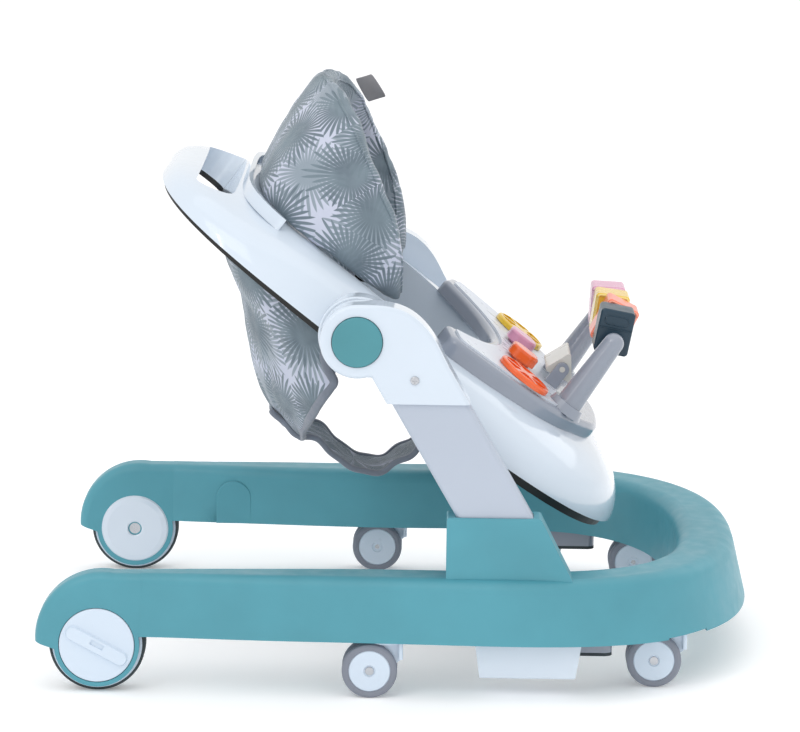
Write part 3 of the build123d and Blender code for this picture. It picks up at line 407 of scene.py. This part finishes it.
def spread(points, count):
    """Points evenly spaced along a polyline."""
    lengths = [0.0]
    for a, b in zip(points, points[1:]):
        lengths.append(lengths[-1] + (b - a).length)
    out = []
    segment = 0
    for i in range(count):
        target = lengths[-1] * i / (count - 1)
        while segment < len(points) - 2 and lengths[segment + 1] < target:
            segment += 1
        run = lengths[segment + 1] - lengths[segment]
        share = (target - lengths[segment]) / run if run else 0.0
        out.append(points[segment].lerp(points[segment + 1], min(max(share, 0.0), 1.0)))
    return out


def through(knots, x):
    """Value at x on a smooth line through (x, value) knots, by monotone steps."""
    if x <= knots[0][0]:
        return knots[0][1]
    for (x0, y0), (x1, y1) in zip(knots, knots[1:]):
        if x <= x1:
            t = (x - x0) / (x1 - x0)
            return y0 + (y1 - y0) * t
    return knots[-1][1]


def egg_point(angle, rear, half, front, middle, rear_power, front_power):
    c, s = math.cos(angle), math.sin(angle)
    reach = front - middle if c >= 0 else rear - middle
    power = front_power if c >= 0 else rear_power
    return (middle + reach * abs(c) ** (2 / power), half * math.copysign(abs(s) ** (2 / power), s))


def level_at(levels, n):
    """Quadratic through three levels of (height, and any further numbers)."""
    (n0, *a), (n1, *b), (n2, *c) = levels
    w0 = (n - n1) * (n - n2) / ((n0 - n1) * (n0 - n2))
    w1 = (n - n0) * (n - n2) / ((n1 - n0) * (n1 - n2))
    w2 = (n - n0) * (n - n1) / ((n2 - n0) * (n2 - n1))
    return [p * w0 + q * w1 + r * w2 for p, q, r in zip(a, b, c)]


# ---------------------------------------------------------------- backrest
BACK_LEVELS = ((20, -165.5, 172, 60, 4.0), (105, -171, 152, 40, 3.2), (185, -177.5, 96, 10, 2.5))
BACK_FOOT = 34.6
BACK_SLOPE = ((-147, 168), (-121, 157), (-95, 142), (-66, 126), (-37, 108), (-20, 93), (-8, 80), (8, 56), (17, 34.4))
BACK_THICK = 26.0


def back_point(angle, n, inset):
    rear, half, front, power = level_at(BACK_LEVELS, n)
    return egg_point(angle, rear + inset, half - inset, front - inset, -50.0, power, 2.3)


def back_top(angle):
    """Height of the pad's top edge at this angle round the seat."""
    n = 168.0
    for _ in range(40):
        u, _y = back_point(angle, n, BACK_THICK / 2)
        n += 0.5 * (through(BACK_SLOPE, u) - n)
    return n


def backrest():
    """Horseshoe pad round the child's back, with its top edge falling towards the front."""
    start = 0.5
    while back_top(start) < BACK_FOOT + 12:
        start += 0.01
    steps = 120
    sections, ridge, outer_edge = [], [], []
    for i in range(steps + 1):
        angle = start + (2 * math.pi - 2 * start) * i / steps
        top = back_top(angle)
        ring = []
        for k in range(36):
            a = 2 * math.pi * k / 36
            across = 0.5 - 0.5 * math.copysign(abs(math.cos(a)) ** 0.55, math.cos(a))
            lift = 0.5 + 0.5 * math.copysign(abs(math.sin(a)) ** 0.5, math.sin(a))
            n = BACK_FOOT + (top - 2.0 - BACK_FOOT) * lift
            crown = 3.0 * math.sin(math.pi * lift)
            inset = 2.5 + (BACK_THICK - 5.0) * across + (crown if across > 0.5 else -crown)
            u, y = back_point(angle, n, inset)
            ring.append(ring_point(u, y, n))
        sections.append(ring)
    pad = new_object("backrest_pad", skin(sections), BACK_CLOTH)
    foot = 0.040
    puff(pad, 0.005, 0.007, lambda point: (point - HUB).dot(RING_UP) < foot)
    for vertex in pad.data.vertices:
        p = vertex.co
        fold = noise.fractal(p * 26.0, 1.0, 2.0, 3) * 0.0014
        fold += noise.noise(Vector((p.x * 60, p.y * 14, p.z * 60))) * 0.0007
        vertex.co = p + vertex.normal * fold
    subdivide(pad)
    return pad, start


def ride_as(thing, body):
    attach(thing, body)
    return thing


pad, pad_start = backrest()
ride_as(pad, "ring")
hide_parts("seat_backrest")
pad_tree = BVHTree.FromPolygons([v.co for v in pad.data.vertices], [p.vertices for p in pad.data.polygons])


def on_pad(u, y, n, lift):
    """The pad's surface point nearest a ring point, raised off it."""
    place, normal, _face, _distance = pad_tree.find_nearest(ring_point(u, y, n))
    return place + normal * lift


def pad_seam(name, inset, drop, radius):
    """A sewn line that follows the pad's top edge, a little down one of its faces."""
    points = []
    for i in range(110):
        angle = pad_start + 0.03 + (2 * math.pi - 2 * pad_start - 0.06) * i / 109
        n = back_top(angle) - drop
        u, y = back_point(angle, n, inset)
        points.append(on_pad(u, y, n, radius * 0.2))
    seam = tube(name, spread(points, 160), radius, BACK_CLOTH, sides=8)
    return ride_as(seam, "ring")


pad_seam("backrest_outer_seam", 0.0, 7.0, 0.0013)
pad_seam("backrest_inner_seam", BACK_THICK, 7.0, 0.0013)


# ---------------------------------------------------------------- sling and crotch strap
SLING_ROWS = ((34.0, -154.4, 161.4, 126.4), (-36, -153.4, 160.4, 125.4), (-48, -140, 158, 140),
              (-64, -109, 151, 160), (-82, -89, 142, 172), (-99, -72, 129, 180), (-115, -55, 108, 186),
              (-129, -39, 84, 190), (-140, -22, 66, 195), (-147, -4, 50, 200))
# Front edge of the fabric below the ring: world z and x in millimetres.
SLING_EDGE = ((205, -104), (222, -101), (258, -86), (297, -62), (313, -46), (330, -40), (378, -31), (600, -31))
STRAP_UNDER = ((-137, 237), (-125, 223), (-111, 211), (-99, 207), (-87, 203.5), (-75, 193), (-62, 180),
               (-49, 172), (-36, 169), (-24, 170.5), (-12, 175.5), (3, 184), (17, 195.5), (27, 214), (40.5, 249.5))


def sling_point(angle, height, inset):
    """Point of the hanging fabric at an angle round the seat and a height along the ring's normal."""
    rows = SLING_ROWS
    for low_row, high_row in zip(rows[1:], rows):
        if height >= low_row[0]:
            break
    t = (height - low_row[0]) / (high_row[0] - low_row[0])
    t = min(max(t, 0.0), 1.0)
    rear, half, front = (a + (b - a) * t for a, b in zip(low_row[1:], high_row[1:]))
    middle = -10.0 + ((front + rear) / 2 + 10.0) * min(max((-38.0 - height) / 30.0, 0.0), 1.0)
    u, y = egg_point(angle, rear + inset, half - inset, front - inset, middle, 2.5, 2.5)
    return ring_point(u, y, height)


def sling_bottom(angle):
    """Lowest height of the fabric at this angle: where it meets its front edge or its floor."""
    height = 0.0
    while height > -147.0:
        point = sling_point(angle, height, 2.5)
        if point.x / MM > through(SLING_EDGE, point.z / MM):
            return height
        height -= 0.5
    return -147.0


def sling():
    """Fabric seat hanging in the ring's hole, open towards the front for the legs."""
    first = math.pi / 2
    while sling_bottom(first) > -14.0:
        first += 0.01
    steps, rows = 132, 46
    top = 30.0
    outer, inner, edge = [], [], []
    for i in range(steps + 1):
        angle = first + (2 * math.pi - 2 * first) * i / steps
        bottom = sling_bottom(angle)
        column_out, column_in = [], []
        for k in range(rows + 1):
            share = k / rows
            height = top + (bottom - top) * share
            fold = 1.6 * math.sin(angle * 23.0 + 2.2 * share) * max(share - 0.25, 0.0)
            fold += 1.1 * math.sin(angle * 41.0 + 1.3) * max(share - 0.35, 0.0)
            if height > -20:
                fold = 0.0
            column_out.append(sling_point(angle, height, 0.8 - fold))
            column_in.append(sling_point(angle, height, 4.6 - fold))
        outer.append(column_out)
        inner.append(column_in)
        edge.append((column_out[-1] + column_in[-1]) / 2)
    sections = [out + list(reversed(into)) for out, into in zip(outer, inner)]
    thing = new_object("sling_fabric", skin(sections), SLING_CLOTH)
    for vertex in thing.data.vertices:
        p = vertex.co
        if (p - HUB).dot(RING_UP) < -0.045:
            vertex.co = p + vertex.normal * noise.fractal(p * 22.0, 1.0, 2.0, 3) * 0.0022
    subdivide(thing)
    front_right = [outer[0][k].lerp(inner[0][k], 0.5) for k in range(14, rows + 1)]
    front_left = [outer[-1][k].lerp(inner[-1][k], 0.5) for k in range(rows, 13, -1)]
    return thing, front_right + edge[1:-1] + front_left


def ribbon(name, points, outward, width, thick, material):
    """A flat tape along points; outward gives the direction its face looks at each point."""
    sections = []
    last = len(points) - 1
    for i, point in enumerate(points):
        along = (points[min(i + 1, last)] - points[max(i - 1, 0)]).normalized()
        face = outward(point)
        face = (face - along * face.dot(along)).normalized()
        side = along.cross(face)
        ring = []
        for k in range(12):
            a = 2 * math.pi * k / 12
            x = math.copysign(abs(math.cos(a)) ** 0.5, math.cos(a))
            y = math.copysign(abs(math.sin(a)) ** 0.7, math.sin(a))
            ring.append(point + side * (x * width / 2) + face * (y * thick / 2))
        sections.append(ring)
    thing = new_object(name, skin(sections), material)
    subdivide(thing)
    return thing


seat, seat_edge = sling()
ride_as(seat, "ring")
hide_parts("seat_sling")


def seat_outward(point):
    return Vector((point.x + 0.05, point.y, 0.0)).normalized()


tape = ribbon("sling_binding", spread(seat_edge, 190), seat_outward, 0.0095, 0.0062, BINDING)
ride_as(tape, "ring")


def strap():
    """Crotch strap from the back of the sling down and up to the front of the ring's hole."""
    line = spread([Vector((x * MM, 0, z * MM)) for x, z in STRAP_UNDER], 60)
    for _ in range(6):
        line = [line[0]] + [(a + b * 2 + c) / 4 for a, b, c in zip(line, line[1:], line[2:])] + [line[-1]]
    sections, edges = [], {1: [], -1: []}
    for i, point in enumerate(line):
        along = (line[min(i + 1, 59)] - line[max(i - 1, 0)]).normalized()
        up = Vector((0, -1, 0)).cross(along)
        up = up if up.z > 0 or i > 40 else -up
        share = i / 59
        half = 0.047 - 0.010 * math.sin(math.pi * share)
        ring = []
        for k in range(28):
            a = 2 * math.pi * k / 28
            x = math.copysign(abs(math.cos(a)) ** 0.6, math.cos(a))
            y = math.copysign(abs(math.sin(a)) ** 0.8, math.sin(a))
            pucker = 0.0011 * math.sin(share * 46.0 + x * 3.0) + 0.0012 * x * x * math.sin(share * 31.0)
            ring.append(point + Vector((0, x * half, 0)) + up * (0.0026 + y * 0.0022 + pucker))
        sections.append(ring)
        for sign in (1, -1):
            pucker = 0.0011 * math.sin(share * 46.0 + sign * 3.0) + 0.0012 * math.sin(share * 31.0)
            edges[sign].append(point + Vector((0, sign * half, 0)) + up * (0.0026 + pucker))
    thing = new_object("crotch_strap", skin(sections), SLING_CLOTH)
    subdivide(thing)
    ride_as(thing, "ring")
    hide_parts("crotch_strap")
    for sign, word in ((1, "left"), (-1, "right")):
        side = ribbon(f"strap_binding_{word}", edges[sign], lambda point: Vector((0, 1, 0)), 0.0062, 0.0075, BINDING)
        ride_as(side, "ring")


strap()


def tag():
    """Blank folded tape sewn into the front of the pad's top edge, standing out flat."""
    root = (Vector((-0.0535, -0.010, 0.5735)), Vector((-0.0400, -0.010, 0.5495)))
    tip = (Vector((-0.0358, -0.012, 0.5792)), Vector((-0.0205, -0.016, 0.5565)))
    sections = []
    for k in range(9):
        share = k / 8
        upper = root[0].lerp(tip[0], share) + Vector((0, -0.0022 * math.sin(math.pi * share), 0))
        lower = root[1].lerp(tip[1], share) + Vector((0, 0.0016 * math.sin(math.pi * share), 0))
        out = Vector((0, -1, 0))
        ring = []
        for m in range(12):
            a = 2 * math.pi * m / 12
            x = 0.5 + 0.5 * math.copysign(abs(math.cos(a)) ** 0.4, math.cos(a))
            ring.append(lower.lerp(upper, x) + out * (0.0007 * math.sin(a)))
        sections.append(ring)
    thing = new_object("seam_tag", skin(sections), TAG_CLOTH)
    subdivide(thing, 2)
    ride_as(thing, "ring")


tag()


# ---------------------------------------------------------------- raised trims on the toy blocks
# Block name, turn at rest in degrees, place along the bar in millimetres and bead colour: a paler tint of the
# block's own colour, a painted highlight along the raised beads.
BLOCK_TRIMS = (("orange", 27, -23.25, (250, 158, 132)), ("yellow", 8, 23.25, (240, 219, 130)),
               ("pink", 3, 69.75, (232, 190, 212)))


def block_axes(turn):
    """Width and height directions of a block that is turned about the bar."""
    a = math.radians(turn)
    return Vector((math.cos(a), 0, -math.sin(a))), Vector((math.sin(a), 0, math.cos(a)))


def round_loop(width, height, radius, count=6):
    """Corner points of a rounded rectangle round the origin."""
    points = []
    for corner in range(4):
        cx = (width / 2 - radius) * (1 if corner in (0, 3) else -1)
        cy = (height / 2 - radius) * (1 if corner < 2 else -1)
        for k in range(count):
            a = math.pi / 2 * (corner + k / (count - 1))
            points.append((cx + radius * math.cos(a), cy + radius * math.sin(a)))
    return points


def raised_loop(name, node, centre, axes, size, radius, wire, material):
    """A rounded rectangular bead on one end face of a block."""
    wide, high = axes
    points = [centre + wide * (x * MM) + high * (y * MM) for x, y in round_loop(*size, radius)]
    bead = tube(name, points, wire * MM, material, sides=8, closed=True)
    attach(bead, f"{node}_body")
    return bead


def toy_trims():
    bar = ring_point(217, 0, 133)
    for name, turn, along, color in BLOCK_TRIMS:
        wide, high = block_axes(turn)
        # The beads are moulded frames; their paler tint of the block colour is a painted highlight.
        highlight_trim = plastic(f"{name}_trim", color, 0.3, coat=0.2, vary=0.04)
        for end in (-1, 1):
            centre = bar + high * (8.5 * MM) + Vector((0, (along + end * 20.9) * MM, 0))
            bead = raised_loop(f"{name}_trim_{end + 2}", f"{name}_block", centre, (wide, high),
                               (31.0, 41.0), 3.0, 1.3, highlight_trim)
    wide, high = block_axes(11)
    face = bar + Vector((0, (-69.75 - 20.8) * MM, 0))
    oval = raised_loop("teal_oval", "teal_block", face + high * (20.5 * MM), (wide, high), (24.0, 9.0), 4.4, 0.8,
                       DEEP_TEAL)
    groove = raised_loop("teal_ridge", "teal_block", face + high * (12.5 * MM), (wide, high), (33.0, 1.6), 0.7,
                         0.7, DEEP_TEAL)


toy_trims()


# ---------------------------------------------------------------- camera, light and floor
def look():
    """The camera: a long lens at the walker's right side, a little above it."""
    pitch = math.radians(10.705)
    yaw = math.radians(0.3715)
    roll = math.radians(0.75)
    forward = Vector((-math.sin(yaw) * math.cos(pitch), math.cos(yaw) * math.cos(pitch), -math.sin(pitch)))
    right = Vector((math.cos(yaw), math.sin(yaw), 0))
    up = right.cross(forward)
    x_axis = right * math.cos(roll) + up * math.sin(roll)
    y_axis = up * math.cos(roll) - right * math.sin(roll)
    data = bpy.data.cameras.new("camera")
    data.sensor_width = 36.0
    data.lens = 178.65
    data.clip_end = 60.0
    camera = bpy.data.objects.new("camera", data)
    matrix = Matrix((x_axis, y_axis, -forward)).transposed().to_4x4()
    matrix.translation = Vector((0.02204, -4.00493, 1.03384))
    camera.matrix_world = matrix
    bpy.context.collection.objects.link(camera)
    bpy.context.scene.camera = camera


def area_light(name, place, target, size, power, color=(1, 1, 1)):
    data = bpy.data.lights.new(name, "AREA")
    data.shape = "RECTANGLE"
    data.size, data.size_y = size
    data.energy = power
    data.color = color
    light = bpy.data.objects.new(name, data)
    light.location = place
    light.rotation_mode = "QUATERNION"
    light.rotation_quaternion = (Vector(target) - Vector(place)).to_track_quat("-Z", "Y")
    bpy.context.collection.objects.link(light)


def studio():
    """Pale floor, bright even sky and two soft boxes."""
    scene = bpy.context.scene
    scene.view_settings.view_transform = "Standard"
    world = bpy.data.worlds.new("studio")
    world.use_nodes = True
    back = world.node_tree.nodes["Background"]
    back.inputs["Color"].default_value = (1.0, 1.0, 1.0, 1.0)
    back.inputs["Strength"].default_value = 1.0
    scene.world = world
    bm = bmesh.new()
    bmesh.ops.create_grid(bm, x_segments=8, y_segments=8, size=12.0)
    mesh = bpy.data.meshes.new("floor")
    bm.to_mesh(mesh)
    bm.free()
    floor = bpy.data.objects.new("floor", mesh)
    bpy.context.collection.objects.link(floor)
    n = Nodes("pale_floor")
    n.link(n.mix(n.noise(2.0), (0.93, 0.93, 0.94, 1), (0.95, 0.95, 0.955, 1)), n.shader.inputs["Base Color"])
    n.shader.inputs["Roughness"].default_value = 0.9
    n.shader.inputs["Emission Color"].default_value = (1.0, 1.0, 1.0, 1.0)
    n.shader.inputs["Emission Strength"].default_value = 0.16
    mesh.materials.append(n.material)
    area_light("key", (-0.9, -1.9, 2.6), (0, 0, 0.25), (2.0, 1.6), 11)
    area_light("top", (0.3, 0.3, 2.8), (0, 0, 0.2), (2.4, 2.4), 6)
    area_light("rim", (1.9, 1.4, 1.5), (0, 0, 0.3), (1.2, 1.6), 4)
    area_light("strip", (-1.5, -2.2, 1.9), (0, 0, 0.35), (0.12, 1.6), 5)


look()
studio()
